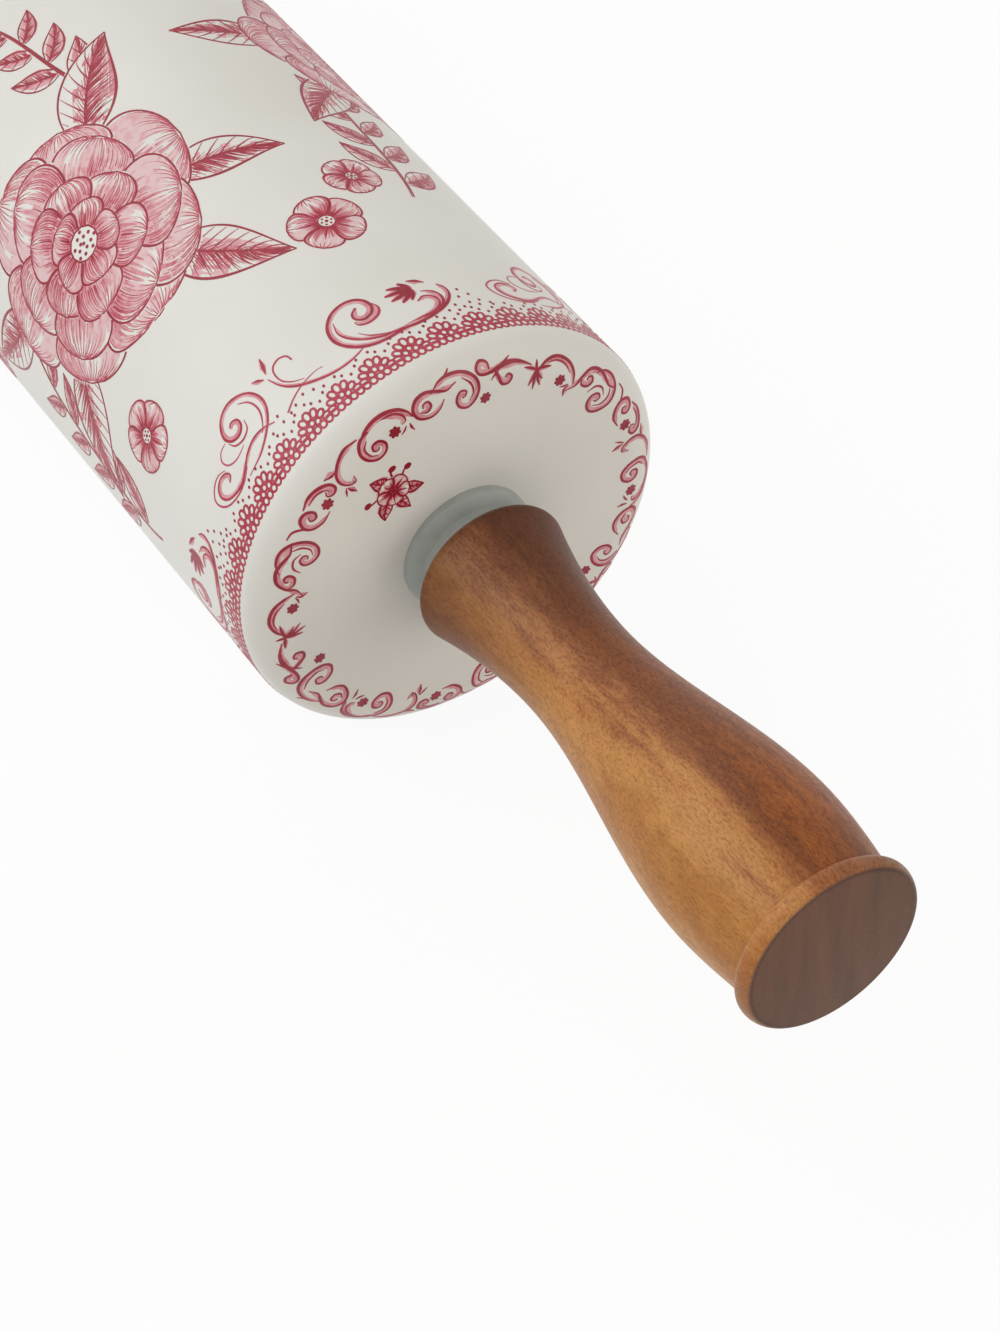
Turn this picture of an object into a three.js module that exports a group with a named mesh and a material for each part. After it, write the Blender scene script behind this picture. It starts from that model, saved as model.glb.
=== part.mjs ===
// Ceramic rolling pin: a hollow glazed roller that turns on a steel rod between two turned wooden handles.
// Millimetres. The pin lies along X with +Z up, and the origin is the centre of the roller.
import * as THREE from "three";
import { mergeVertices } from "three/addons/utils/BufferGeometryUtils.js";

// Gaps between neighbours
const SEAT_GAP = 0.3;        // between pieces that sit against each other
const RUNNING_GAP = 0.3;     // between pieces that turn against each other

// Roller, cast hollow in stoneware
const ROLLER_RADIUS = 38;
const ROLLER_LENGTH = 250;
const ROLLER_WALL = 6.5;
const END_WALL = 9;
const SHOULDER_LENGTH = 5.2; // rounded outer edge, along the axis
const SHOULDER_DEPTH = 7;    // rounded outer edge, across the end face
const CAVITY_ROUNDING = 8;
const END_HOLE_RADIUS = 10;

// Grommet, a soft ring in each end hole
const FLANGE_RADIUS = 11.4;
const FLANGE_EDGE = 1.3;     // straight part of the flange's rim
const FLANGE_BEVEL = 1.4;    // height of the bevel between rim and collar
const COLLAR_RADIUS = 9.4;
const COLLAR_LENGTH = 1.6;
const LIP_RADIUS = 11.2;     // inner lip that snaps behind the end wall
const LIP_THICKNESS = 2.5;
const LIP_TAPER = 1;

// Bearing sleeve, pushed into the grommet from inside
const SLEEVE_WALL = 1.8;
const SLEEVE_FLANGE_RADIUS = 10;
const SLEEVE_FLANGE_THICKNESS = 2;

// Axle rod with a stud on each end
const ROD_RADIUS = 5;
const STUD_RADIUS = 3.9;
const STUD_LENGTH = 22;
const STUD_CHAMFER = 0.8;

// Thrust washer between grommet and handle
const WASHER_RADIUS = 8.4;
const WASHER_THICKNESS = 0.5;

// Threaded insert in the handle's bore
const INSERT_RADIUS = 6;
const INSERT_LENGTH = 24;
const INSERT_FLANGE_RADIUS = 7.2;
const INSERT_FLANGE_THICKNESS = 1.4;

// Handle: distances are measured from its inner face, radii from the axis
const HANDLE_LENGTH = 93.4;
const HANDLE_FACE_RADIUS = 9;
const NECK_AT = 2.6;
const NECK_RADIUS = 13.1;
const NECK_SLOPE = -0.28;
const WAIST_AT = 27.5;
const WAIST_RADIUS = 9.45;
const BELLY_AT = 73.5;
const BELLY_RADIUS = 15.35;
const GROOVE_RADIUS = 13.8;
const GROOVE_SLOPE = -0.14;
const BEAD_RADIUS = 15.6;
const BEAD_BACK = 1.6;       // from the groove to the bead's crest
const BEAD_FRONT = 1.8;      // from the crest to the flat end
const BEAD_END_RADIUS = 14.5;
const DRILL_POINT = 2;       // cone at the bottom of the blind bore

// Facets around the axis and steps along each curve
const ROLLER_FACETS = 64;
const HANDLE_FACETS = 32;
const SMALL_FACETS = 24;
const CORNER_STEPS = 5;
const STRETCH_STEPS = 6;

// Places along the axis at the +X end
const rollerEnd = ROLLER_LENGTH / 2;
const wallInside = rollerEnd - END_WALL;
const flangeBack = rollerEnd + SEAT_GAP;
const flangeRim = flangeBack + FLANGE_EDGE;
const flangeFront = flangeRim + FLANGE_BEVEL;
const collarFront = flangeFront + COLLAR_LENGTH;
const lipOutside = wallInside - SEAT_GAP;
const lipInside = lipOutside - LIP_THICKNESS;
const washerBack = collarFront + RUNNING_GAP;
const washerFront = washerBack + WASHER_THICKNESS;
const handleFace = washerFront + SEAT_GAP;
const handleEnd = handleFace + HANDLE_LENGTH;
const rodShoulder = washerFront;
const studEnd = rodShoulder + STUD_LENGTH;
const insertMouth = handleFace + SEAT_GAP;
const insertEnd = insertMouth + INSERT_LENGTH;
const boreBottom = Math.max(insertEnd, studEnd) + SEAT_GAP;

// Radii of the pieces that fit in each other
const grommetNeck = END_HOLE_RADIUS - SEAT_GAP;
const sleeveBore = ROD_RADIUS + RUNNING_GAP;
const sleeveRadius = sleeveBore + SLEEVE_WALL;
const grommetBore = sleeveRadius + SEAT_GAP;
const washerBore = ROD_RADIUS + SEAT_GAP;
const insertBore = STUD_RADIUS + SEAT_GAP;
const handleBore = INSERT_RADIUS + SEAT_GAP;
const handleCounterbore = INSERT_FLANGE_RADIUS + SEAT_GAP;

const glazedCeramic = new THREE.MeshStandardMaterial({ color: 0xe6e4dc, roughness: 0.22, metalness: 0 });
const blueGreySilicone = new THREE.MeshStandardMaterial({ color: 0x7f8685, roughness: 0.55, metalness: 0 });
const whiteNylon = new THREE.MeshStandardMaterial({ color: 0xe2e0d6, roughness: 0.5, metalness: 0 });
const plainSteel = new THREE.MeshStandardMaterial({ color: 0x9a9c9e, roughness: 0.35, metalness: 1 });
const turnedBrass = new THREE.MeshStandardMaterial({ color: 0xb5924a, roughness: 0.35, metalness: 1 });
const oiledHardwood = new THREE.MeshStandardMaterial({ color: 0x94623a, roughness: 0.5, metalness: 0 });

// A profile point: distance along the axis, then radius.
function at(x, radius) {
  return new THREE.Vector2(radius, x);
}

// Part of an ellipse about a centre point. Degrees run from the axis direction, 0, to straight out, 90.
function arc(centre, alongAxis, acrossAxis, fromDegrees, toDegrees) {
  const points = [];
  for (let step = 0; step <= CORNER_STEPS; step += 1) {
    const degrees = fromDegrees + ((toDegrees - fromDegrees) * step) / CORNER_STEPS;
    const angle = THREE.MathUtils.degToRad(degrees);
    points.push(at(centre.y + alongAxis * Math.cos(angle), centre.x + acrossAxis * Math.sin(angle)));
  }
  return points;
}

// A smooth stretch between two profile points with a given slope at each, without the two points themselves.
function stretch(from, fromSlope, to, toSlope) {
  const length = to.y - from.y;
  const points = [];
  for (let step = 1; step < STRETCH_STEPS; step += 1) {
    const u = step / STRETCH_STEPS;
    const blend = u * u * (3 - 2 * u);
    const fromPull = length * fromSlope * u * (1 - u) * (1 - u);
    const toPull = length * toSlope * u * u * (u - 1);
    const radius = from.x + (to.x - from.x) * blend + fromPull + toPull;
    points.push(at(from.y + length * u, radius));
  }
  return points;
}

// The same profile points at the other end of the pin.
function mirrored(points) {
  return points.map((point) => at(-point.y, point.x)).reverse();
}

// A profile that closes on its first point.
function ring(points) {
  return [...points, points[0].clone()];
}

// A closed turned body. Its profile runs along +X on the outside and back on the inside, or from axis to axis.
// One of its facets faces straight down.
function turned(name, profile, facets, material) {
  const lathe = new THREE.LatheGeometry(profile, facets, Math.PI / facets);
  lathe.deleteAttribute("normal");
  lathe.deleteAttribute("uv");
  const body = mergeVertices(lathe);
  const corners = body.index.array;
  const triangles = [];
  for (let i = 0; i < corners.length; i += 3) {
    const triangle = [corners[i], corners[i + 1], corners[i + 2]];
    if (new Set(triangle).size === 3) {
      triangles.push(...triangle);
    }
  }
  body.setIndex(triangles);
  body.rotateZ(-Math.PI / 2);
  body.computeVertexNormals();
  const mesh = new THREE.Mesh(body, material);
  mesh.name = name;
  return mesh;
}

function ceramicRoller() {
  const cavityRadius = ROLLER_RADIUS - ROLLER_WALL;
  const shoulderCentre = at(rollerEnd - SHOULDER_LENGTH, ROLLER_RADIUS - SHOULDER_DEPTH);
  const cavityCentre = at(wallInside - CAVITY_ROUNDING, cavityRadius - CAVITY_ROUNDING);
  const outside = [
    ...arc(shoulderCentre, SHOULDER_LENGTH, SHOULDER_DEPTH, 90, 0),
    at(rollerEnd, END_HOLE_RADIUS),
  ];
  const inside = [
    at(wallInside, END_HOLE_RADIUS),
    ...arc(cavityCentre, CAVITY_ROUNDING, CAVITY_ROUNDING, 0, 90),
  ];
  const profile = [...mirrored(outside), ...outside, ...inside, ...mirrored(inside)];
  return turned("ceramic_roller", ring(profile), ROLLER_FACETS, glazedCeramic);
}

function grommet(side) {
  const profile = [
    at(lipInside, grommetBore),
    at(lipInside, LIP_RADIUS - LIP_TAPER),
    at(lipInside + LIP_TAPER, LIP_RADIUS),
    at(lipOutside, LIP_RADIUS),
    at(lipOutside, grommetNeck),
    at(flangeBack, grommetNeck),
    at(flangeBack, FLANGE_RADIUS),
    at(flangeRim, FLANGE_RADIUS),
    at(flangeFront, COLLAR_RADIUS),
    at(collarFront, COLLAR_RADIUS),
    at(collarFront, grommetBore),
  ];
  return turned(`${side}_grommet`, ring(profile), SMALL_FACETS, blueGreySilicone);
}

function bearingSleeve(side) {
  const flangeSeat = lipInside - SEAT_GAP;
  const flangeInside = flangeSeat - SLEEVE_FLANGE_THICKNESS;
  const profile = [
    at(flangeInside, sleeveBore),
    at(flangeInside, SLEEVE_FLANGE_RADIUS),
    at(flangeSeat, SLEEVE_FLANGE_RADIUS),
    at(flangeSeat, sleeveRadius),
    at(collarFront, sleeveRadius),
    at(collarFront, sleeveBore),
  ];
  return turned(`${side}_bearing_sleeve`, ring(profile), SMALL_FACETS, whiteNylon);
}

function axleRod() {
  const half = [
    at(rodShoulder, ROD_RADIUS),
    at(rodShoulder, STUD_RADIUS),
    at(studEnd - STUD_CHAMFER, STUD_RADIUS),
    at(studEnd, STUD_RADIUS - STUD_CHAMFER),
    at(studEnd, 0),
  ];
  return turned("axle_rod", [...mirrored(half), ...half], SMALL_FACETS, plainSteel);
}

function thrustWasher(side) {
  const profile = [
    at(washerBack, washerBore),
    at(washerBack, WASHER_RADIUS),
    at(washerFront, WASHER_RADIUS),
    at(washerFront, washerBore),
  ];
  return turned(`${side}_thrust_washer`, ring(profile), SMALL_FACETS, plainSteel);
}

function threadedInsert(side) {
  const flangeEnd = insertMouth + INSERT_FLANGE_THICKNESS;
  const profile = [
    at(insertMouth, insertBore),
    at(insertMouth, INSERT_FLANGE_RADIUS),
    at(flangeEnd, INSERT_FLANGE_RADIUS),
    at(flangeEnd, INSERT_RADIUS),
    at(insertEnd, INSERT_RADIUS),
    at(insertEnd, insertBore),
  ];
  return turned(`${side}_threaded_insert`, ring(profile), SMALL_FACETS, turnedBrass);
}

// The handle's outside, from the edge of its inner face to the edge of its flat end.
function handleOutside() {
  const noseCentre = at(handleFace + NECK_AT, HANDLE_FACE_RADIUS);
  const noseDepth = NECK_RADIUS - HANDLE_FACE_RADIUS;
  const pastNeck = THREE.MathUtils.radToDeg(Math.atan((-NECK_SLOPE * NECK_AT) / noseDepth));
  const nose = arc(noseCentre, NECK_AT, noseDepth, 180, 90 - pastNeck);
  const neck = nose[nose.length - 1];
  const waist = at(handleFace + WAIST_AT, WAIST_RADIUS);
  const belly = at(handleFace + BELLY_AT, BELLY_RADIUS);
  const groove = at(handleEnd - BEAD_FRONT - BEAD_BACK, GROOVE_RADIUS);
  const crest = handleEnd - BEAD_FRONT;
  return [
    ...nose,
    ...stretch(neck, NECK_SLOPE, waist, 0),
    waist,
    ...stretch(waist, 0, belly, 0),
    belly,
    ...stretch(belly, 0, groove, GROOVE_SLOPE),
    ...arc(at(crest, GROOVE_RADIUS), BEAD_BACK, BEAD_RADIUS - GROOVE_RADIUS, 180, 90),
    ...arc(at(crest, BEAD_END_RADIUS), BEAD_FRONT, BEAD_RADIUS - BEAD_END_RADIUS, 90, 0).slice(1),
  ];
}

function handle(side) {
  const counterboreEnd = insertMouth + INSERT_FLANGE_THICKNESS + SEAT_GAP;
  const bore = [
    at(boreBottom + DRILL_POINT, 0),
    at(boreBottom, handleBore),
    at(counterboreEnd, handleBore),
    at(counterboreEnd, handleCounterbore),
    at(handleFace, handleCounterbore),
  ];
  const profile = [...bore, ...handleOutside(), at(handleEnd, 0)];
  return turned(`${side}_handle`, profile, HANDLE_FACETS, oiledHardwood);
}

// All that sits at one end of the pin, turned about Z for the other end.
function pinEnd(side, turn) {
  const end = new THREE.Group();
  end.add(grommet(side), bearingSleeve(side), thrustWasher(side), threadedInsert(side), handle(side));
  end.rotation.z = turn;
  return end;
}

const rollingPin = new THREE.Group();
rollingPin.add(ceramicRoller(), axleRod(), pinEnd("right", 0), pinEnd("left", Math.PI));

export default rollingPin;
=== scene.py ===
"""Ceramic rolling pin: a glazed and printed roller that turns between two turned wooden handles."""

import math
import random

import bpy
import numpy as np
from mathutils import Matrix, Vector


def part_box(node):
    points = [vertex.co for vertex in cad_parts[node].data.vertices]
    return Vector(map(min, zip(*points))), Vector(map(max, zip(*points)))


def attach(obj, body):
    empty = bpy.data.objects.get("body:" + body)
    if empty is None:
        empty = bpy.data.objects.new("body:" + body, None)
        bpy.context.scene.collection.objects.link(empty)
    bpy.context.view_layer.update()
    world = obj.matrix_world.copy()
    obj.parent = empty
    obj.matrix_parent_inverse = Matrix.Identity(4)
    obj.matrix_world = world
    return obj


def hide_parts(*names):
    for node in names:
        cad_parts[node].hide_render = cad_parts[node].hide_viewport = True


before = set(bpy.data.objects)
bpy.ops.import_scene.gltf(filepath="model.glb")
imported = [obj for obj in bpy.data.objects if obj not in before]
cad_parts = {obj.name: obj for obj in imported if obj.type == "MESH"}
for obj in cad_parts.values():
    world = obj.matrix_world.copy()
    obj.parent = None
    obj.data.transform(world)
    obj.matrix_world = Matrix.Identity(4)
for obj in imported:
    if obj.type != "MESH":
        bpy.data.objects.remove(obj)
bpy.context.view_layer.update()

# Profiles and strokes are in millimetres, Blender in metres
MM = 0.001
WHITE = (1, 1, 1, 1)

# Places along the axis at the right end, from the frame
ROLLER_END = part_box("ceramic_roller")[1].x / MM
GROMMET_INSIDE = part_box("right_grommet")[0].x / MM
GROMMET_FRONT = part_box("right_grommet")[1].x / MM
HANDLE_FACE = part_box("right_handle")[0].x / MM
HANDLE_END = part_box("right_handle")[1].x / MM

# Roller
ROLLER_RADIUS = 38
ROLLER_WALL = 6.5
END_WALL = 9
SHOULDER_LENGTH = 5.2
SHOULDER_DEPTH = 7
CAVITY_ROUNDING = 8
END_HOLE_RADIUS = 10
HOLE_EDGE_ROUNDING = 0.8

# Grommet
GROMMET_BORE = 7.4
GROMMET_NECK = 9.7
LIP_RADIUS = 11.2
LIP_THICKNESS = 2.5
LIP_TAPER = 1
FLANGE_BACK = 0.02
FLANGE_RADIUS = 11.4
FLANGE_EDGE = 1.58
FLANGE_BEVEL = 1.4
FLANGE_ROUNDING = 0.3
COLLAR_RADIUS = 9.4
COLLAR_ROUNDING = 0.35
FILLET = 0.35
FILLET_AHEAD = 0.2

# Handle, measured from its inner face
HANDLE_FACE_RADIUS = 9
COUNTERBORE_RADIUS = 7.5
COUNTERBORE_DEPTH = 2
BORE_RADIUS = 6.3
BORE_DEPTH = 24.6
DRILL_POINT = 2
NECK_AT = 2.6
NECK_RADIUS = 13.1
NECK_SLOPE = -0.28
WAIST_AT = 27.5
WAIST_RADIUS = 9.45
BELLY_AT = 73.5
BELLY_RADIUS = 15.35
GROOVE_RADIUS = 13.8
GROOVE_SLOPE = -0.14
BEAD_RADIUS = 15.6
BEAD_BACK = 1.6
BEAD_FRONT = 1.8
BEAD_END_RADIUS = 14.5

# Wood: the heart coordinate across the blank, and how far it reaches on the bead and on the nose
HEART_Y = 50
HEART_Z = 26
BEAD_REACH = 0.87
NOSE_REACH = 0.7

# Wood: where its colours change, from the handle's inner face, from its end and from the pin's middle. The
# two nose spans hold a painted shade on the nose.
LEAN_SPAN = (25, 60)
NOSE_PAINTED_SHADE_SPAN = (0, 36)
NOSE_SIDES_PAINTED_SHADE_SPAN = (15, 38)
BEAD_SPAN = (-4, -2.6)
END_GRAIN_SPAN = (-0.6, -0.1)
RED_STREAK_SPAN = (155, 180)

# Wood: radii where the end grain stops and where a painted shade darkens its rim, and the rim's shift to
# the lower right
RIM_SPAN = (14.3, 14.9)
RIM_PAINTED_SHADE_SPAN = (13.3, 14.5)
RIM_SHIFT = 0.9
RIM_SHIFT_SPAN = (-13, 6)
LOW_RIGHT_Y = 0.84
LOW_RIGHT_Z = 0.54

# Facets around the axis and steps along each curve
ROLLER_FACETS = 192
HANDLE_FACETS = 128
GROMMET_FACETS = 96
CORNER_STEPS = 10
STRETCH_STEPS = 24
SMOOTH_ANGLE = math.radians(32)

# Print: how high the ink stands on the glaze, how deep its ribbons reach, the pens' steps and the washes
INK_HEIGHT = 0.028
INK_TONE_STEP = 0.012
INK_ORDER_STEP = 0.0004
INK_ORDER_LEVELS = 11
INK_DEPTH = 0.05
PEN_STEP = 0.5
FINE_STEP = 0.22
WASH_TONE = 0.4
WASH_THINNING = 4
BOLD_WIDTH = 0.4
WASH_ASIDE = 0.42
WASH_WIDENING = 1.7
PALE_WASH = 0.24

# Print: the angle about the axis where its drawing has u = 0, from +Z towards -Y
PRINT_MIDDLE = math.radians(27.6)
FAR_HALF_TURN = math.radians(140)
CIRCUMFERENCE = 2 * math.pi * ROLLER_RADIUS
LACE_FANS = 38
LACE_START = 0.65
LACE_BASE = 5.0
LACE_TONE = 0.76
SCROLL_GROUPS = 4
RING_RADIUS = 31.9
SPRIG_RADIUS = 21.5
SEED = 7

# Print: groups of flowers on the barrel, each with its leafy sprays, its large flower and its small ones
FLOWERS = (
    (
        "front",
        (
            ((-46, 31), 112, 44, [-0.08, 0, -0.01, -0.05], 9, 13),
            ((4, 94), 110, 28, [-0.03, 0, 0.04], 6, 11),
        ),
        ((-14, 70), 24, 12),
        (((18, 40), 6.5, 20), ((28, 49), 5, 50), ((-29, 37), 6, 0), ((-52, 92), 5.5, 30)),
    ),
    (
        "side",
        (((36, 42), 70, 40, [0.03, 0, -0.04], 8, 12),),
        ((54, 92), 20, 30),
        (((76, 54), 6.5, 10), ((66, 62), 5, 40)),
    ),
    (
        "back",
        (((97, 34), 108, 40, [-0.05, 0.02, -0.03], 8, 12), ((148, 96), 60, 26, [-0.02, 0.03], 6, 10)),
        ((118, 70), 23, 75),
        (((150, 42), 6.5, 0), ((160, 50), 5, 30), ((92, 100), 5.5, 50)),
    ),
)

# Floor, world and lamps. A lamp has its name, place, aim, size, power and colour.
FLOOR_SIZE = 6
FLOOR_HEIGHT = -0.0381
FLOOR_GLOW = 1.02
GLOW_SHARE = 0.9
WORLD_COLOUR = (1, 0.962, 0.908, 1)
WORLD_STRENGTH = 0.46
LAMPS = (
    ("back_light", (-0.855, -0.145, 1.16), (0.08, 0, 0), 1.1, 3.4, (0.96, 0.985, 1)),
    ("left_light", (-0.45, -1.05, 0.95), (0.08, 0, 0), 1.1, 7.7, (0.95, 0.98, 1)),
    ("front_light", (0.95, -0.45, 0.85), (0.08, 0, 0), 1.1, 0.9, (1, 0.955, 0.88)),
    ("right_fill", (1.12, 0.62, 0.28), (0.12, 0, 0), 0.9, 3.2, (1, 0.94, 0.85)),
)

# Camera, for a frame of 1000 by 1333 pixels
FRAME_CENTRE = (500, 666.5)
FRAME_LONG_SIDE = 1333
SENSOR_WIDTH = 36
FOCAL_PIXELS = 3811
VIEW_AZIMUTH = math.radians(57.61)
VIEW_ELEVATION = math.radians(45.66)
END_FACE_PIXEL = (464.8, 543.8)
ROLLER_RADIUS_PIXELS = 240.4
CLIP_START = 0.01

vary = random.Random(SEED).uniform


def srgb(red, green, blue):
    """A screen colour of 0 to 255 as linear values with full alpha."""
    linear = []
    for value in (red, green, blue):
        share = value / 255
        linear.append(share / 12.92 if share <= 0.04045 else ((share + 0.055) / 1.055) ** 2.4)
    return (*linear, 1)


# Nodes of the materials

class Nodes:
    """The node tree of a material or world, with short ways to add nodes to it."""

    def __init__(self, owner, shader):
        owner.use_nodes = True
        self.tree = owner.node_tree
        self.shader = self.tree.nodes[shader]

    def feed(self, node, inputs):
        """Sets a node's inputs to values, or links them to other nodes' outputs."""
        for socket, value in inputs.items():
            if isinstance(value, bpy.types.NodeSocket):
                self.tree.links.new(value, node.inputs[socket])
            else:
                node.inputs[socket].default_value = value

    def add(self, kind, inputs, **settings):
        """A node with its settings and inputs."""
        node = self.tree.nodes.new(kind)
        for name, value in settings.items():
            setattr(node, name, value)
        self.feed(node, inputs)
        return node

    def place(self, scale=(1, 1, 1)):
        """Object coordinates, stretched by a scale."""
        place = self.add("ShaderNodeTexCoord", {}).outputs["Object"]
        return self.add("ShaderNodeMapping", {"Vector": place, "Scale": scale}).outputs["Vector"]

    def noise(self, scale, detail=2, roughness=0.5, distortion=0):
        """Noise on object coordinates, with one scale for all axes or one for each."""
        even = not isinstance(scale, tuple)
        inputs = {"Vector": self.place() if even else self.place(scale), "Scale": scale if even else 1}
        inputs.update({"Detail": detail, "Roughness": roughness, "Distortion": distortion})
        return self.add("ShaderNodeTexNoise", inputs).outputs["Fac"]

    def ramp(self, value, *stops, screen=True):
        """A colour ramp. A stop is a position and three values, a screen colour's or plain factors."""
        node = self.add("ShaderNodeValToRGB", {"Fac": value})
        bar = node.color_ramp.elements
        while len(bar) < len(stops):
            bar.new(0.5)
        for element, (position, *colour) in zip(bar, stops):
            element.position = position
            element.color = srgb(*colour) if screen else (*colour, 1)
        return node.outputs["Color"]

    def span(self, value, low, high, to_low, to_high):
        """A value mapped from one range to another and held inside it."""
        inputs = {"Value": value, "From Min": low, "From Max": high, "To Min": to_low, "To Max": to_high}
        return self.add("ShaderNodeMapRange", inputs).outputs["Result"]

    def calculate(self, operation, first, second=0):
        return self.add("ShaderNodeMath", {0: first, 1: second}, operation=operation).outputs[0]

    def plus(self, first, second):
        return self.calculate("ADD", first, second)

    def minus(self, first, second):
        return self.calculate("SUBTRACT", first, second)

    def times(self, first, second):
        return self.calculate("MULTIPLY", first, second)

    def blend(self, share, first, second, mode="MIX"):
        inputs = {0: share, 6: first, 7: second}
        return self.add("ShaderNodeMix", inputs, data_type="RGBA", blend_type=mode).outputs[2]

    def shade(self, colour, value, *stops, share=1):
        """A colour darkened by the factors of a ramp."""
        return self.blend(share, colour, self.ramp(value, *stops, screen=False), "MULTIPLY")

    def seen(self):
        """1 for rays by which floor and world are seen, straight or in a reflection, 0 for others."""
        path = self.add("ShaderNodeLightPath", {}).outputs
        seen = self.calculate("MAXIMUM", path["Is Camera Ray"], path["Is Glossy Ray"])
        return self.calculate("MAXIMUM", seen, path["Is Transmission Ray"])

    def surface(self, colour, roughness, specular=0.5):
        inputs = {"Base Color": colour, "Roughness": roughness, "Specular IOR Level": specular}
        self.feed(self.shader, inputs)

    def bump(self, height, distance, strength):
        """A bump on the shader's normal, on top of any bump it already has."""
        node = self.add("ShaderNodeBump", {"Height": height, "Distance": distance, "Strength": strength})
        normal = self.shader.inputs["Normal"]
        if normal.links:
            self.tree.links.new(normal.links[0].from_socket, node.inputs["Normal"])
        self.tree.links.new(node.outputs["Normal"], normal)


def new_material(name):
    material = bpy.data.materials.new(name)
    return material, Nodes(material, "Principled BSDF")


# Materials

def fired_roughness(nodes):
    """The uneven gloss that glaze and ink share."""
    return nodes.span(nodes.noise(140), 0.3, 0.7, 0.3, 0.38)


def glaze_material():
    """Off-white glaze with faint clouds, soft waves and a fine orange peel."""
    material, nodes = new_material("off_white_glaze")
    clouds = nodes.noise(26, detail=3)
    colour = nodes.ramp(clouds, (0.35, 232, 230, 224), (0.65, 237, 236, 231))
    nodes.surface(colour, fired_roughness(nodes), 0.25)
    nodes.bump(nodes.noise(90, detail=1), 0.0002, 0.12)
    nodes.bump(nodes.noise(1900), 0.00002, 0.15)
    return material


def ink_material():
    """Crimson ink under the glaze: its tone comes from the stroke, its density wavers."""
    material, nodes = new_material("crimson_ink")
    tone = nodes.add("ShaderNodeAttribute", {}, attribute_name="tone").outputs["Fac"]
    density = nodes.span(nodes.noise(700, detail=3), 0.3, 0.7, -0.16, 0.1)
    colour = nodes.ramp(
        nodes.plus(tone, density),
        (0, 232, 198, 200),
        (0.2, 222, 156, 164),
        (0.5, 194, 80, 100),
        (0.8, 170, 30, 58),
        (1, 148, 16, 43),
    )
    nodes.surface(colour, fired_roughness(nodes), 0.38)
    return material


def along(nodes, far_out, origin, places, to_first, to_last):
    """A value that changes along the handle between two places, measured from an origin."""
    first, last = ((origin + place) * MM for place in places)
    return nodes.span(far_out, first, last, to_first, to_last)


def wood_tone(nodes, heart, far_out, streaks, mottle):
    """From light to dark across the blank, broken up by streaks, broad clouds and a mottle."""
    broad = nodes.noise((20, 62, 62), detail=3, distortion=1.2)
    tone = nodes.plus(heart, nodes.times(streaks, 0.9))
    tone = nodes.plus(tone, nodes.times(broad, 0.7))
    tone = nodes.plus(tone, nodes.span(mottle, 0.25, 0.75, -0.2, 0.2))
    return nodes.plus(tone, along(nodes, far_out, HANDLE_FACE, LEAN_SPAN, 0.16, 0.04))


def blank_colour(nodes, tone, far_out):
    """Golden to dark brown by the tone, with a redder streak in the outer half's dark side. Its lighter
    stops at 0.4 and 0.51 are partly a painted sheen along the handle.
    """
    # The lighter stops at 0.4 and 0.51 are wood tone and partly a painted sheen
    colour = nodes.ramp(
        nodes.times(tone, 0.7),
        (0, 214, 157, 92),
        (0.1, 194, 130, 62),
        (0.26, 196, 133, 66),
        (0.4, 206, 146, 76),
        (0.51, 209, 147, 81),
        (0.62, 196, 130, 70),
        (0.73, 167, 102, 53),
        (0.87, 138, 76, 34),
        (0.96, 143, 78, 32),
    )
    redder = nodes.span(tone, 1.3, 1.6, 0, 0.85)
    redder = nodes.times(redder, along(nodes, far_out, 0, RED_STREAK_SPAN, 0, 1))
    return nodes.blend(redder, colour, srgb(178, 102, 44))


def with_painted_nose_shade(nodes, colour, heart, far_out):
    """Paints shade on the nose, most on its sides: partly the wood's own darker nose, partly the roller's
    shadow on it. Its greyer middle is a painted sheen.
    """
    nose = along(nodes, far_out, HANDLE_FACE, NOSE_PAINTED_SHADE_SPAN, 0, 1)
    # Painted shade over the whole nose, partly the wood's own darker nose; its greyer cast is a painted
    # sheen
    colour = nodes.shade(colour, nose, (0, 0.5, 0.46, 0.56), (1, 1, 1, 1))
    # Painted shade on the nose's sides, strongest on the left, where the roller's shadow falls
    return nodes.shade(
        colour,
        nodes.span(heart, -NOSE_REACH, NOSE_REACH, 0, 1),
        (0.06, 0.66, 0.54, 0.42),
        (0.2, 0.85, 0.76, 0.76),
        (0.32, 1, 1, 1),
        (0.58, 1, 1, 1),
        (0.72, 0.8, 0.8, 0.62),
        (1, 0.85, 0.85, 0.6),
        share=along(nodes, far_out, HANDLE_FACE, NOSE_SIDES_PAINTED_SHADE_SPAN, 1, 0.15),
    )


def with_bead_and_painted_light(nodes, colour, heart, far_out, streaks):
    """Gives the bead a lighter figure of its own, with a painted highlight left of its middle and a
    painted sheen at its greyer ends.
    """
    figure = nodes.plus(heart, nodes.span(streaks, 0.3, 0.7, -0.16, 0.16))
    # Painted highlight left of the bead's middle and painted sheen at its greyer ends, over partly lighter
    # wood
    bead_colour_and_painted_light = nodes.ramp(
        nodes.span(figure, -BEAD_REACH, BEAD_REACH, 0, 1),
        (0, 170, 122, 84),
        (0.14, 185, 117, 64),
        (0.29, 208, 142, 80),
        (0.51, 210, 146, 86),
        (0.63, 182, 113, 66),
        (0.8, 172, 109, 66),
        (1, 148, 110, 80),
    )
    bead = along(nodes, far_out, HANDLE_END, BEAD_SPAN, 0, 1)
    return nodes.blend(nodes.times(bead, 0.88), colour, bead_colour_and_painted_light)


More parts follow.
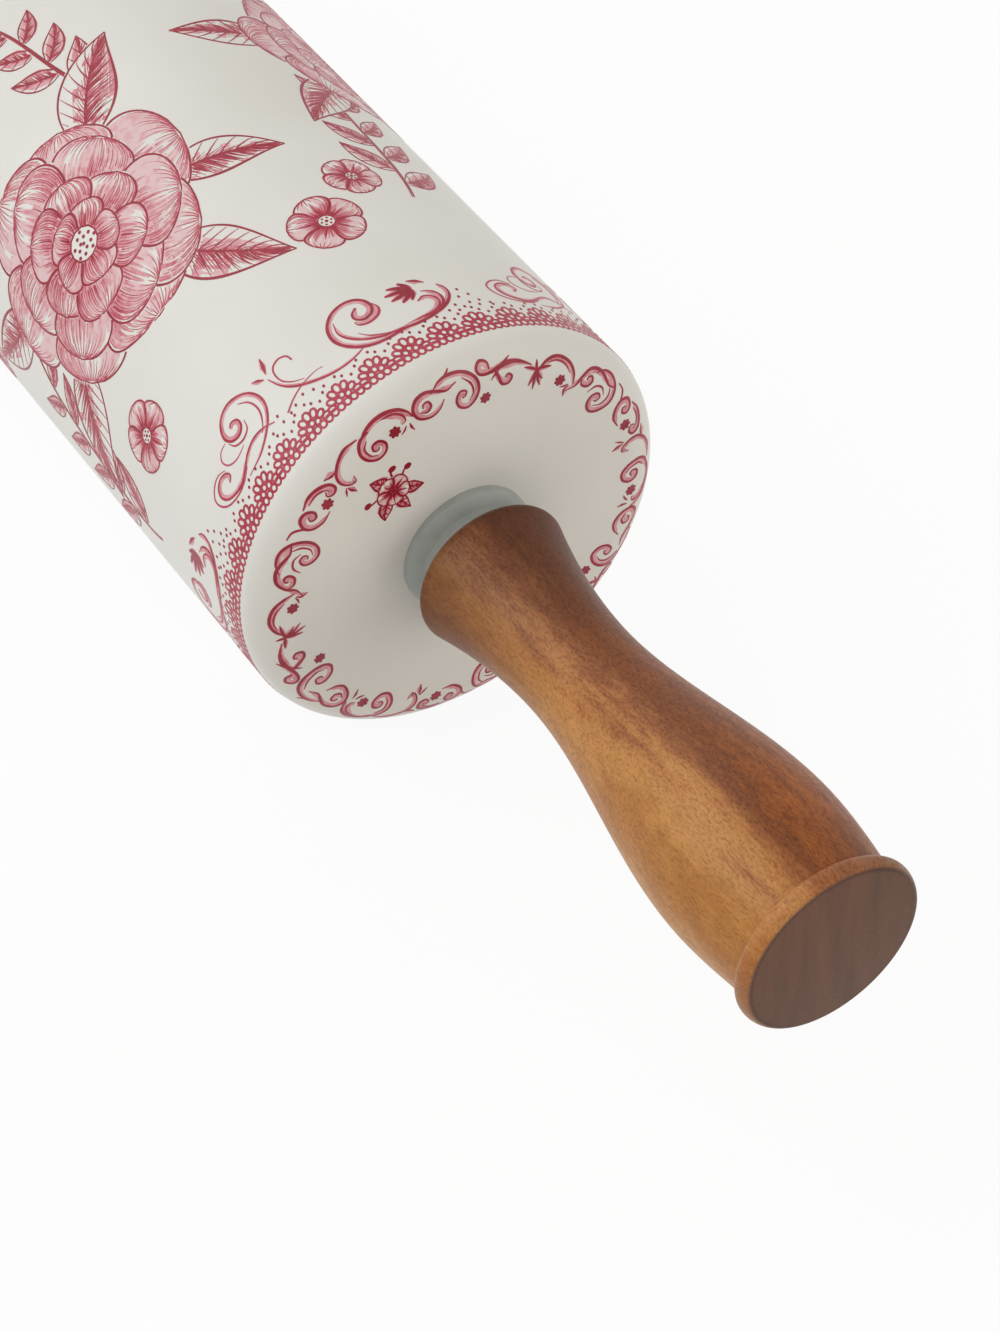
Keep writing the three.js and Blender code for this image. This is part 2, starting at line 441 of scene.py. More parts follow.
def fine_grained(nodes, colour, tone, mottle, grain, pores):
    """Darkens a colour by mottle, grain and pores."""
    colour = nodes.shade(colour, mottle, (0.32, 0.84, 0.8, 0.75), (0.64, 1, 1, 1))
    stops = (0.36, 0.58, 0.52, 0.46), (0.52, 0.94, 0.93, 0.92), (0.66, 1, 1, 1)
    colour = nodes.shade(colour, grain, *stops, share=nodes.span(tone, 0.5, 1, 0.42, 0.85))
    return nodes.blend(nodes.times(pores, 0.4), colour, srgb(78, 42, 22))


def with_end_grain(nodes, colour, far_out, y, z):
    """Lays dark end grain over the flat end. Its rim is a little wider at the lower right, and a painted
    shade darkens its edge where it meets the bead.
    """
    flat = nodes.add("ShaderNodeVectorMath", {0: nodes.place((0, 1, 1))}, operation="LENGTH")
    low_right = nodes.minus(nodes.times(y, LOW_RIGHT_Y), nodes.times(z, LOW_RIGHT_Z))
    shift = along(nodes, low_right, 0, RIM_SHIFT_SPAN, 0, RIM_SHIFT * MM)
    rim = nodes.minus(flat.outputs["Value"], shift)
    mask = along(nodes, far_out, HANDLE_END, END_GRAIN_SPAN, 0, 1)
    mask = nodes.times(mask, along(nodes, rim, 0, RIM_SPAN, 1, 0))
    lines = nodes.noise((1, 300, 34), detail=4, distortion=0.3)
    dots = nodes.noise((1, 2400, 2400), detail=1)
    end_tone = nodes.plus(lines, nodes.times(dots, 0.25))
    end_colour = nodes.ramp(end_tone, (0.4, 86, 52, 32), (0.85, 110, 69, 43))
    # Painted shade: a dark line along the end's edge, where it meets the bead
    stops = (0.2, 1, 1, 1), (0.7, 0.62, 0.56, 0.5), (1, 0.8, 0.75, 0.7)
    end_colour = nodes.shade(end_colour, along(nodes, rim, 0, RIM_PAINTED_SHADE_SPAN, 0, 1), *stops)
    return nodes.blend(mask, colour, end_colour)


def wood_material():
    """Oiled hardwood, golden to dark brown across the blank, with streaks, pores and dark end grain;
    painted shade on its nose and round its end, painted highlight and sheen on its bead and middle.
    """
    material, nodes = new_material("oiled_hardwood")
    x, y, z = nodes.add("ShaderNodeSeparateXYZ", {"Vector": nodes.place()}).outputs
    far_out = nodes.calculate("ABSOLUTE", x)
    heart = nodes.plus(nodes.times(y, HEART_Y), nodes.times(z, HEART_Z))
    streaks = nodes.noise((9, 190, 190), detail=6, roughness=0.68, distortion=0.8)
    mottle = nodes.noise((180, 560, 560), detail=4, roughness=0.6)
    grain = nodes.noise((1300, 2700, 2700), roughness=0.6)
    pores = nodes.span(nodes.noise((900, 4200, 4200), detail=1), 0.62, 0.7, 0, 1)
    tone = wood_tone(nodes, heart, far_out, streaks, mottle)
    colour = blank_colour(nodes, tone, far_out)
    colour = with_painted_nose_shade(nodes, colour, heart, far_out)
    colour = with_bead_and_painted_light(nodes, colour, heart, far_out, streaks)
    colour = fine_grained(nodes, colour, tone, mottle, grain, pores)
    colour = with_end_grain(nodes, colour, far_out, y, z)
    nodes.surface(colour, nodes.span(grain, 0.3, 0.7, 0.48, 0.34), 0.27)
    nodes.bump(grain, 0.00006, 0.4)
    nodes.bump(nodes.minus(1, pores), 0.00005, 0.3)
    return material


def silicone_material():
    """Satin blue-grey silicone with a faint bloom and a moulded texture."""
    material, nodes = new_material("blue_grey_silicone")
    bloom = nodes.noise(320, detail=4)
    colour = nodes.ramp(bloom, (0.35, 164, 171, 167), (0.7, 175, 181, 177))
    nodes.surface(colour, nodes.span(bloom, 0.3, 0.7, 0.42, 0.55))
    nodes.bump(nodes.noise(2600, detail=1), 0.00002, 0.3)
    return material


def turned_material(name, dark, light, scale=(4200, 60, 60), rough=(0.26, 0.4), depth=0.3, metallic=1):
    """Turned metal or plastic: fine tool marks round the axis."""
    material, nodes = new_material(name)
    marks = nodes.noise(scale)
    nodes.surface(nodes.ramp(marks, (0.3, *dark), (0.7, *light)), nodes.span(marks, 0.3, 0.7, *rough))
    nodes.feed(nodes.shader, {"Metallic": metallic})
    nodes.bump(marks, 0.00002, depth)
    return material


# Turned bodies

def arc(centre_x, centre_radius, along, across, first, last, steps=CORNER_STEPS):
    """Part of an ellipse in a profile. Degrees run from the axis direction, 0, to straight out, 90."""
    points = []
    for step in range(steps + 1):
        angle = math.radians(first + (last - first) * step / steps)
        points.append((centre_x + along * math.cos(angle), centre_radius + across * math.sin(angle)))
    return points


def stretch(start, start_slope, end, end_slope):
    """A smooth stretch between two profile points, with the end point and without the start."""
    length = end[0] - start[0]
    points = []
    for step in range(1, STRETCH_STEPS + 1):
        u = step / STRETCH_STEPS
        radius = start[1] + (end[1] - start[1]) * u * u * (3 - 2 * u)
        radius += length * start_slope * u * (1 - u) ** 2 + length * end_slope * u * u * (u - 1)
        points.append((start[0] + length * u, radius))
    return points


def other_end(points):
    return [(-x, radius) for x, radius in reversed(points)]


def turned_body(name, profile, facets, sign=1):
    """A body spun about the axis from a profile drawn point by point. Sign -1 is for the left end."""
    profile = [(sign * x, radius) for x, radius in profile]
    bpy.ops.object.select_all(action="DESELECT")
    start = Vector((profile[0][0], 0, profile[0][1])) * MM
    bpy.ops.mesh.primitive_plane_add(size=MM, location=(0, 0, 0))
    body = bpy.context.object
    body.name = name
    bpy.ops.object.mode_set(mode="EDIT")
    bpy.ops.mesh.select_all(action="SELECT")
    bpy.ops.mesh.merge(type="CENTER")
    bpy.ops.transform.translate(value=start)
    for (x, radius), (next_x, next_radius) in zip(profile, profile[1:]):
        step = Vector((next_x - x, 0, next_radius - radius)) * MM
        bpy.ops.mesh.extrude_region_move(TRANSFORM_OT_translate={"value": step})
    bpy.ops.mesh.select_all(action="SELECT")
    bpy.ops.mesh.spin(steps=facets, angle=2 * math.pi, center=(0, 0, 0), axis=(1, 0, 0))
    bpy.ops.mesh.select_all(action="SELECT")
    bpy.ops.mesh.remove_doubles(threshold=0.002 * MM)
    bpy.ops.mesh.normals_make_consistent(inside=False)
    bpy.ops.object.mode_set(mode="OBJECT")
    bpy.ops.object.shade_smooth_by_angle(angle=SMOOTH_ANGLE)
    return body


def ceramic_roller():
    cavity_radius = ROLLER_RADIUS - ROLLER_WALL
    wall_inside = ROLLER_END - END_WALL
    shoulder_x = ROLLER_END - SHOULDER_LENGTH
    shoulder_radius = ROLLER_RADIUS - SHOULDER_DEPTH
    edge_x = ROLLER_END - HOLE_EDGE_ROUNDING
    edge_radius = END_HOLE_RADIUS + HOLE_EDGE_ROUNDING
    outside = arc(shoulder_x, shoulder_radius, SHOULDER_LENGTH, SHOULDER_DEPTH, 90, 0, 2 * CORNER_STEPS)
    outside += arc(edge_x, edge_radius, HOLE_EDGE_ROUNDING, HOLE_EDGE_ROUNDING, 0, -90)
    inside = [(wall_inside, END_HOLE_RADIUS)]
    rounding_x = wall_inside - CAVITY_ROUNDING
    inside += arc(rounding_x, cavity_radius - CAVITY_ROUNDING, CAVITY_ROUNDING, CAVITY_ROUNDING, 0, 90)
    profile = other_end(outside) + outside + inside + other_end(inside)
    return turned_body("glazed_roller", profile + profile[:1], ROLLER_FACETS)


def grommet(side, sign):
    lip_outside = GROMMET_INSIDE + LIP_THICKNESS
    flange_back = ROLLER_END + FLANGE_BACK
    rim = flange_back + FLANGE_EDGE
    front = rim + FLANGE_BEVEL
    rounding = FLANGE_ROUNDING
    profile = [
        (GROMMET_INSIDE, GROMMET_BORE),
        (GROMMET_INSIDE, LIP_RADIUS - LIP_TAPER),
        (GROMMET_INSIDE + LIP_TAPER, LIP_RADIUS),
        (lip_outside, LIP_RADIUS),
        (lip_outside, GROMMET_NECK),
        (flange_back, GROMMET_NECK),
    ]
    profile += arc(flange_back + rounding, FLANGE_RADIUS - rounding, rounding, rounding, 180, 90)
    profile += arc(rim - rounding, FLANGE_RADIUS - rounding, rounding, rounding, 90, 45)
    profile += arc(front + FILLET_AHEAD, COLLAR_RADIUS + FILLET, FILLET, FILLET, 225, 270)
    small = COLLAR_ROUNDING
    profile += arc(GROMMET_FRONT - small, COLLAR_RADIUS - small, small, small, 90, 0)
    profile += [(GROMMET_FRONT, GROMMET_BORE), (GROMMET_INSIDE, GROMMET_BORE)]
    return turned_body(f"{side}_silicone_grommet", profile, GROMMET_FACETS, sign)


def handle(side, sign):
    face, end = HANDLE_FACE, HANDLE_END
    profile = [
        (face + BORE_DEPTH + DRILL_POINT, 0),
        (face + BORE_DEPTH, BORE_RADIUS),
        (face + COUNTERBORE_DEPTH, BORE_RADIUS),
        (face + COUNTERBORE_DEPTH, COUNTERBORE_RADIUS),
        (face, COUNTERBORE_RADIUS),
    ]
    nose_depth = NECK_RADIUS - HANDLE_FACE_RADIUS
    past_neck = math.degrees(math.atan(-NECK_SLOPE * NECK_AT / nose_depth))
    neck = face + NECK_AT
    profile += arc(neck, HANDLE_FACE_RADIUS, NECK_AT, nose_depth, 180, 90 - past_neck, 2 * CORNER_STEPS)
    waist = (face + WAIST_AT, WAIST_RADIUS)
    belly = (face + BELLY_AT, BELLY_RADIUS)
    crest = end - BEAD_FRONT
    groove = (crest - BEAD_BACK, GROOVE_RADIUS)
    profile += stretch(profile[-1], NECK_SLOPE, waist, 0)
    profile += stretch(waist, 0, belly, 0)
    profile += stretch(belly, 0, groove, GROOVE_SLOPE)
    profile += arc(crest, GROOVE_RADIUS, BEAD_BACK, BEAD_RADIUS - GROOVE_RADIUS, 180, 90)[1:]
    profile += arc(crest, BEAD_END_RADIUS, BEAD_FRONT, BEAD_RADIUS - BEAD_END_RADIUS, 90, 0)[1:]
    profile += [(end, 0)]
    return turned_body(f"{side}_wooden_handle", profile, HANDLE_FACETS, sign)


# Pen strokes on a flat sheet: u to the right, v up. A stroke is a path, its widths and its tone.

def spread(values, count):
    """Values spread evenly over a number of points."""
    return np.interp(np.linspace(0, 1, count), np.linspace(0, 1, len(values)), values)


def curl(start, heading, length, bends, step=PEN_STEP):
    """A pen path from a start point and heading in degrees, bent by curvatures spread evenly along it."""
    count = max(7, int(length / step) + 1)
    spacing = length / (count - 1)
    bend = spread(bends, count)
    turned = np.concatenate([[0], np.cumsum((bend[1:] + bend[:-1]) / 2) * spacing])
    angles = math.radians(heading) + turned
    middle = (angles[1:] + angles[:-1]) / 2
    steps = np.stack([np.cos(middle), np.sin(middle)], 1) * spacing
    return np.vstack([[0, 0], np.cumsum(steps, 0)]) + np.array(start, float)


def left_of(path):
    """Unit vectors to the left of a path, at each of its points."""
    ahead = np.gradient(path, axis=0)
    left = np.stack([-ahead[:, 1], ahead[:, 0]], 1)
    return left / np.maximum(np.hypot(left[:, 0], left[:, 1]), 1e-9)[:, None]


def beside(path, *gaps):
    """A path that runs beside another at a changing distance, to its left."""
    return path + left_of(path) * spread(gaps, len(path))[:, None]


def pen(path, *widths, tone=1.0):
    """A stroke whose width changes evenly through the given values."""
    return path, spread(widths, len(path)), tone


def dot(centre, radius):
    share = np.sin(np.linspace(-math.pi / 2, math.pi / 2, 7))
    path = np.stack([centre[0] + share * radius, np.full(7, centre[1])], 1)
    return path, 2 * radius * np.sqrt(np.maximum(1 - share ** 2, 0.04)), 1.0


def polar(centre, distance, heading):
    angle = math.radians(heading)
    return centre[0] + distance * math.cos(angle), centre[1] + distance * math.sin(angle)


def circle(centre, radius):
    return np.array([polar(centre, radius, 20 * k) for k in range(18)])


def loop(centre, along, across, heading, width, tone=1.0):
    """A closed oval line."""
    angle = math.radians(heading)
    turn = np.linspace(0, 2 * math.pi, 13)
    a, b = along / 2 * np.cos(turn), across / 2 * np.sin(turn)
    u = centre[0] + a * math.cos(angle) - b * math.sin(angle)
    v = centre[1] + a * math.sin(angle) + b * math.cos(angle)
    return pen(np.stack([u, v], 1), width, tone=tone)


def repeated(strokes, count, length):
    """Strokes drawn a number of times, spread evenly over a length."""
    shifts = [length / count * k for k in range(count)]
    return [(path + [shift, 0], widths, tone) for shift in shifts for path, widths, tone in strokes]


def line(tone, widths, *points):
    """A smooth stroke through points, with its tone and its widths along the way."""
    knots = np.array(points, float)
    ends = np.vstack([2 * knots[0] - knots[1], knots, 2 * knots[-1] - knots[-2]])
    pieces = []
    for before, start, finish, after in zip(ends, ends[1:], ends[2:], ends[3:]):
        count = max(2, int(np.hypot(*(finish - start)) / FINE_STEP))
        t = np.linspace(0, 1, count, endpoint=False)[:, None]
        bow = (2 * before - 5 * start + 4 * finish - after) * t ** 2
        bow += (3 * start - before - 3 * finish + after) * t ** 3
        pieces.append(start + ((finish - before) * t + bow) / 2)
    return pen(np.vstack(pieces + [knots[-1:]]), *widths, tone=tone)


def washed(strokes):
    """Strokes over a pale wash that lies along the bold ones, on the inside of their curves."""
    wash = []
    for path, widths, tone in strokes:
        if widths.max() >= BOLD_WIDTH and len(path) > 9:
            ahead = np.gradient(path, axis=0)
            turn = np.gradient(np.unwrap(np.arctan2(ahead[:, 1], ahead[:, 0])))
            side = np.clip(np.convolve(turn, np.ones(5), "same") * 2, -1, 1)
            aside = left_of(path) * WASH_ASIDE * side[:, None]
            wash.append((path + aside, WASH_WIDENING * widths, PALE_WASH))
    return wash + strokes


def tick(first, middle, last, width=0.42, tone=0.9):
    """A short stroke that is thick in its middle."""
    return line(tone, (0.14, width, 0.12), first, middle, last)


# Border ornaments

def lace_fan(middle, pitch):
    """One fan of the lace edging: seven loops over three, on a row of five."""
    strokes = []
    for k in range(5):
        u = middle + pitch * (k - 2) / 5
        strokes.append(loop((u, LACE_BASE + 0.66), 1.34, 1.16, 90, 0.4, LACE_TONE))
    for u, v in ((0, 2.4), (-0.92, 1.86), (0.92, 1.86)):
        strokes.append(loop((middle + u, LACE_BASE + v), 1.24, 1.06, 90 - 28 * u, 0.42, LACE_TONE))
    for u, v, lean, along, across in (
        (0, 4.02, 0, 1.9, 1.22),
        (1.15, 3.64, 24, 1.74, 1.16),
        (1.98, 2.62, 48, 1.56, 1.12),
        (2.5, 1.6, 74, 1.36, 1.04),
    ):
        for side in (1, -1) if u else (1,):
            place = (middle + side * u, LACE_BASE + v)
            strokes.append(loop(place, along, across, 90 - side * lean, 0.44, LACE_TONE))
    return strokes


def seed(u, v):
    """A small dot, as they are strewn above the lace."""
    return line(1.0, (0.26, 0.5, 0.26), (u - 0.03, v - 0.29), (u, v), (u + 0.03, v + 0.29))


def lace_seeds(middle, pitch):
    """The seeds that follow the edge of one fan."""
    valley = middle + pitch / 2
    places = [(valley, 9.4), (valley + 1.2, 10.3), (valley - 1.25, 10.3)]
    places += [(middle + 1, 11.1), (middle - 1.15, 11.1)]
    return [seed(*place) for place in places]


def strewn_seeds():
    """Seeds between the scrolls of one group."""
    places = (
        (-11.2, 12), (-8.7, 11.9), (-8.9, 13.6), (-6.9, 11.9), (-5.6, 12.3), (-3.7, 12.8), (-2, 12),
        (23.1, 11.6), (24.7, 12.5), (25.9, 11.6), (26.4, 14.2), (27.3, 12.4), (28.6, 11.5), (29.2, 12.6),
        (27.2, 16), (30.7, 11.6), (28.3, 14.4),
    )
    return [seed(*place) for place in places]


def standing_scroll():
    """A large spiral that rises from the lace, with a wave that ends in a small spiral, and two ticks."""
    return [
        line(0.78, (0.1, 0.28, 0.38, 0.42, 0.42, 0.45, 0.44, 0.45, 0.28),
             (-18.7, 11.3), (-15.3, 11.6), (-12.9, 12.7), (-10.6, 14.4), (-9.2, 16.6), (-8.9, 18.8),
             (-9.7, 21), (-11.4, 22.6), (-13.6, 23.4), (-15.8, 23), (-17.3, 21.7), (-17.9, 19.9),
             (-17.1, 18.3), (-15.5, 17.7), (-14.2, 18.5), (-14.1, 19.9), (-15.2, 20.6), (-16, 20.2)),
        line(0.68, (0.12, 0.32, 0.38, 0.3, 0.12),
             (-12.4, 21.7), (-11, 20.3), (-10.4, 18.6), (-10.5, 16.9), (-11.3, 15.2), (-12.4, 13.9)),
        line(0.64, (0.12, 0.34, 0.38, 0.3, 0.12),
             (-17.9, 18.7), (-17.2, 17.2), (-15.5, 16.5), (-13.8, 17.1), (-13.3, 18.7)),
        line(0.54, (0.12, 0.26, 0.28, 0.26, 0.1),
             (-18.3, 19.4), (-20, 19.2), (-20.9, 18), (-20.3, 16.4), (-18.4, 15.5), (-16, 15.8)),
        line(0.78, (0.24, 0.38, 0.42, 0.46, 0.42, 0.38, 0.18),
             (-22.2, 14.5), (-21.3, 15.2), (-21.8, 16.3), (-23.3, 16.8), (-24.8, 16.3), (-25.4, 15.1),
             (-24.8, 13.6), (-23.2, 12.5), (-21, 12), (-18.7, 12.8), (-16.6, 14.1), (-14, 14.8),
             (-11.7, 14.4), (-9.8, 13.3)),
        line(0.62, (0.12, 0.32, 0.35, 0.33, 0.3, 0.12),
             (-21.5, 16.7), (-23.3, 17.6), (-25.3, 17.3), (-26.7, 16.2), (-26.8, 14.9), (-26.1, 13.5),
             (-24.6, 12.3), (-22.3, 11.6), (-20, 11.8), (-18, 12.8)),
        tick((-5.1, 24.2), (-5.4, 22.7), (-5.9, 21), 0.72),
        tick((-8.5, 22), (-7.6, 21.4), (-6.7, 20.5), 0.52, 0.8),
    ]


def thin_swirl():
    """A thin line along the lace that turns up into a hook, crossed by another."""
    return [
        line(0.72, (0.3, 0.36, 0.3, 0.26, 0.1),
             (-1.4, 19.4), (-1.7, 20.7), (-2.9, 21.4), (-4.3, 21), (-4.9, 19.7), (-4.7, 17.7),
             (-3.5, 16), (-1.9, 14.9)),
        line(0.8, (0.12, 0.34, 0.44, 0.4, 0.3, 0.12),
             (-6.2, 20), (-5.5, 17.6), (-4.2, 15.5), (-2.3, 13.9), (0, 12.6), (2.1, 11.8),
             (4.4, 11.5), (6.6, 11.8), (8.3, 12.4)),
        line(0.66, (0.36, 0.3, 0.2, 0.1),
             (-7.3, 12.4), (-5, 13.6), (-2.6, 14.3), (0, 14.5), (1.4, 14.2)),
    ]


def lying_scroll():
    """A scroll that lies along the lace: a spiral, a hook of three lines, and a leaf tuft between them."""
    strokes = [
        line(0.92, (0.34, 0.52, 0.54, 0.52, 0.56, 0.58, 0.5, 0.52, 0.56, 0.2),
             (11.3, 20.1), (10.2, 19.3), (10.1, 18.1), (11.2, 17.2), (12.7, 17.6), (13.5, 19),
             (13.1, 20.7), (11.7, 21.9), (9.7, 22.2), (7.5, 21.5), (5.8, 19.7), (5.2, 17.4),
             (5.7, 15.3), (7.2, 13.2), (9.4, 11.8), (12, 11.3), (15, 11.5), (18, 11.4), (20.7, 11.9),
             (23, 12.9), (24.8, 14.4), (25.6, 16), (25.5, 17.4), (24.8, 18.3)),
        line(0.8, (0.1, 0.38, 0.44, 0.4, 0.12),
             (7, 19.8), (6.5, 17.7), (7.2, 15.6), (9, 13.6), (11.3, 12.3), (13.6, 11.8), (16, 12)),
        line(0.66, (0.1, 0.34, 0.1), (8.9, 15.3), (10.1, 13.7), (12.2, 12.4), (14.4, 11.8)),
        line(0.78, (0.12, 0.44, 0.5, 0.4, 0.12),
             (13.8, 19.4), (14.2, 18), (13.4, 16.7), (11.6, 16.1), (10, 16.6), (9.6, 17.6)),
        line(0.84, (0.14, 0.46, 0.5, 0.4, 0.12),
             (21.6, 17.7), (23.2, 17), (23.9, 15.4), (23.3, 13.7), (21.6, 12.5), (18.6, 11.9)),
        line(0.76, (0.24, 0.4, 0.42, 0.34, 0.1),
             (20, 15.8), (21.3, 16.5), (22.6, 15.9), (23, 14.6), (22.3, 13.3), (20.6, 12.5),
             (18.1, 12.2), (16, 12.1)),
        tick((20.8, 20.9), (22, 20.4), (23.3, 19.4), 0.7),
    ]
    tips = (19.3, 21), (17.1, 20.6), (16.1, 19.3), (16.5, 17.8), (17.8, 16.6), (19.4, 16.4)
    return strokes + tuft((20.5, 18.8), tips, 0.95)


def tuft(root, tips, width):
    """Leaf strokes from one root."""
    strokes = []
    for tip in tips:
        bow = ((root[0] + tip[0]) / 2, (root[1] + tip[1]) / 2 + 0.12 * (tip[1] - root[1]))
        strokes.append(line(1.0, (0.5 * width, width, 0.8 * width, 0.25 * width), root, bow, tip))
    return strokes


def bud(centre):
    """A small round flower with a ragged edge."""
    strokes = [dot(centre, 0.82)]
    for k in range(7):
        strokes.append(dot(polar(centre, 0.78, 51.4 * k + 15), 0.3))
    return strokes


# One third of the ring on the end face, in five parts from left to right

def ring_tight_pair():
    return [
        line(0.94, (0.14, 0.5, 0.54, 0.5, 0.2),
             (-30.4, -2.2), (-28.8, -0.8), (-28.3, 1), (-27.2, 2.6), (-25.3, 3.1), (-23.5, 2.6),
             (-21.8, 1.9), (-20.1, 2.3)),
        line(0.94, (0.2, 0.5, 0.46, 0.24),
             (-28.2, 0.7), (-27.5, -0.2), (-26.2, 0), (-25.7, 1), (-26.3, 1.7), (-27, 1.3),
             (-26.8, 0.8)),
        line(0.94, (0.14, 0.46, 0.5, 0.52, 0.5, 0.46, 0.24),
             (-25.6, 2.5), (-24, 3.4), (-22, 3.4), (-20.3, 2.4), (-19.4, 0.6), (-19.5, -1.2),
             (-20.5, -2.7), (-22, -3.2), (-23.4, -2.5), (-23.8, -1.1), (-23, -0.1), (-22, -0.4),
             (-22.1, -1.3), (-22.7, -1.4)),
        line(0.8, (0.12, 0.36, 0.34, 0.1), (-21.4, 2), (-20.5, 0.4), (-20.8, -1.3), (-22, -2.2)),
        line(0.8, (0.12, 0.4, 0.36, 0.1), (-25.3, -0.9), (-24.4, 0.6), (-22.9, 1), (-21.6, 0.2)),
        line(0.88, (0.2, 0.4, 0.3), (-19.7, 3.2), (-18.3, 2.9), (-17.4, 1.7), (-17.2, 0.5)),
    ]


def ring_bowl_and_hook():
    return bud((-12.2, 0.1)) + [
        line(0.92, (0.12, 0.44, 0.5, 0.5, 0.46, 0.24),
             (-13.2, -1.1), (-15.2, -1.2), (-16.8, -0.1), (-17.2, 1.5), (-16.2, 2.7), (-14.8, 2.5),
             (-14.2, 1.4), (-14.9, 0.6), (-15.7, 1.1), (-15.3, 1.8)),
        line(0.94, (0.16, 0.46, 0.56, 0.46, 0.2),
             (-14.6, 3), (-12.8, 3.4), (-10.8, 3), (-9.4, 2), (-9.3, 0.8), (-10.3, 0.3), (-11.1, 1),
             (-10.6, 1.7)),
        line(0.8, (0.12, 0.36, 0.3, 0.1), (-13.6, 2.7), (-11.8, 2.7), (-10.5, 2), (-10.1, 1.1)),
        line(0.92, (0.14, 0.34, 0.46, 0.44, 0.4, 0.14),
             (-6.3, -0.6), (-6.8, -1.8), (-7.8, -1.4), (-8.4, 0.2), (-7.9, 1.8), (-6.3, 3),
             (-4.2, 3.7), (-2, 3.4)),
        tick((-8.6, -1.1), (-9.2, -1.7), (-9.9, -2.5)),
        tick((-8.5, -1.3), (-8.5, -2.3), (-8.2, -3.5), 0.6),
        tick((-9.3, 3), (-8.2, 2.5), (-7, 2.5)),
    ]


def ring_spiral_arch():
    return bud((2.9, 0.1)) + [
        line(0.94, (0.3, 0.5, 0.52, 0.5, 0.46, 0.46, 0.24),
             (-0.2, 3.2), (-2, 2.9), (-3.2, 1.3), (-3, -0.7), (-1.7, -2.1), (0, -1.9), (0.8, -0.5),
             (0.2, 0.8), (-1, 0.9), (-1.4, 0), (-0.8, -0.5), (-0.3, -0.1)),
        line(0.84, (0.12, 0.38, 0.34, 0.1), (-1.2, 2.3), (-2.3, 1.3), (-2.2, -0.4), (-1.3, -1.3)),
        line(0.94, (0.14, 0.46, 0.54, 0.52, 0.2),
             (-2.6, 2.3), (-0.5, 3.5), (2.2, 3.8), (4.6, 3.2), (6, 1.9), (6.4, 0.6)),
        line(0.86, (0.12, 0.4, 0.4, 0.16), (2.2, 3.3), (4, 2.9), (5.1, 1.9), (5.2, 0.8), (4.4, 0.5)),
        tick((4.9, -0.2), (4.4, -0.8), (3.6, -1.3)),
        tick((5.6, -0.2), (5.6, -1.1), (5.9, -2.1), 0.5),
    ]


def ring_wide_pair():
    return bud((19.7, -2.7)) + [
        line(0.94, (0.14, 0.4, 0.5, 0.54, 0.5, 0.44, 0.14),
             (12, 0.4), (11, -1.1), (9.3, -1.7), (7.4, -0.8), (6.7, 1), (7.6, 2.5), (9.3, 2.9),
             (11, 2.3), (12.7, 1.6), (14.4, 2.3)),
        line(0.88, (0.12, 0.44, 0.4, 0.24),
             (7.7, 0.3), (8.8, -0.3), (9.7, 0.4), (9.4, 1.4), (8.5, 1.3), (8.4, 0.7)),
        line(0.94, (0.14, 0.46, 0.52, 0.54, 0.52, 0.46, 0.24),
             (10.2, 2.2), (12, 3.4), (14.3, 3.6), (16.4, 2.9), (17.8, 1.4), (18.2, -0.6),
             (17.6, -2.4), (16.2, -3.3), (14.6, -2.6), (14.1, -1), (14.8, 0.3), (15.9, 0),
             (15.7, -0.9), (15.1, -1)),
        line(0.84, (0.12, 0.38, 0.36, 0.1), (15.4, 2.5), (16.8, 1), (17.2, -0.8), (16.5, -2.1)),
        line(0.94, (0.3, 0.46, 0.44, 0.6, 0.8, 0.5, 0.14),
             (20, 2.3), (19.7, 3.4), (18.6, 3.8), (17.9, 2.9), (18.4, 1.9), (19.8, 1.7), (21.6, 2.2),
             (23.6, 2.7), (25.6, 2.5), (27.6, 1.8)),
        line(0.94, (0.3, 0.6, 0.5, 0.44, 0.24),
             (20.9, 2.1), (21.6, 0.8), (22.5, -0.7), (23.7, -0.8), (24.2, 0.3), (23.4, 0.9),
             (22.9, 0.3)),
        tick((12.3, 3.4), (13.1, 3.7), (13.9, 4.4)),
        tick((21.8, 2.5), (22.6, 2.9), (23.5, 3.6)),
        tick((20.4, 0.4), (20.9, 1.1), (21.8, 1.9)),
    ]


def ring_tuft_and_arch():
    tips = (28.1, -1.9), (29.3, -2.5), (30.5, -1.7), (30.4, -0.5), (26.3, 1.5), (28.4, 2.6), (31.4, 1.7)
    return tuft((28.6, 1.1), tips, 0.52) + bud((34.3, -0.5)) + [
        line(0.94, (0.3, 0.5, 0.5, 0.5, 0.46, 0.2),
             (29, 0.7), (30, 2.2), (31.6, 3.1), (33.4, 3.1), (35.2, 2.4), (36.6, 1), (37.4, -0.6)),
        line(0.8, (0.12, 0.36, 0.34, 0.1), (30.6, 2.2), (32.3, 2.6), (34.1, 2.2), (35.7, 1)),
        tick((36.4, -0.8), (35.8, -1.3), (35, -1.6)),
        tick((36.6, -0.9), (36.3, -1.9), (36.9, -3), 0.5),
    ]


# Flowers. A shape is its outline, which covers what lies behind it, and its strokes.

def blade(base, heading, length, width, bend, peak, point):
    """The form of a petal or leaf: shares of its length, centre line, side direction, half width."""
    share = np.linspace(0, 1, 33)
    angles = np.radians(heading + bend * (share - 0.25))
    steps = np.stack([np.cos(angles), np.sin(angles)], 1) * length / 32
    centre = np.array(base, float) + np.vstack([[0, 0], np.cumsum(steps[:-1], 0)])
    side = np.stack([-np.sin(angles), np.cos(angles)], 1)
    return share, centre, side, width / 2 * np.sin(np.pi * share ** peak) ** point


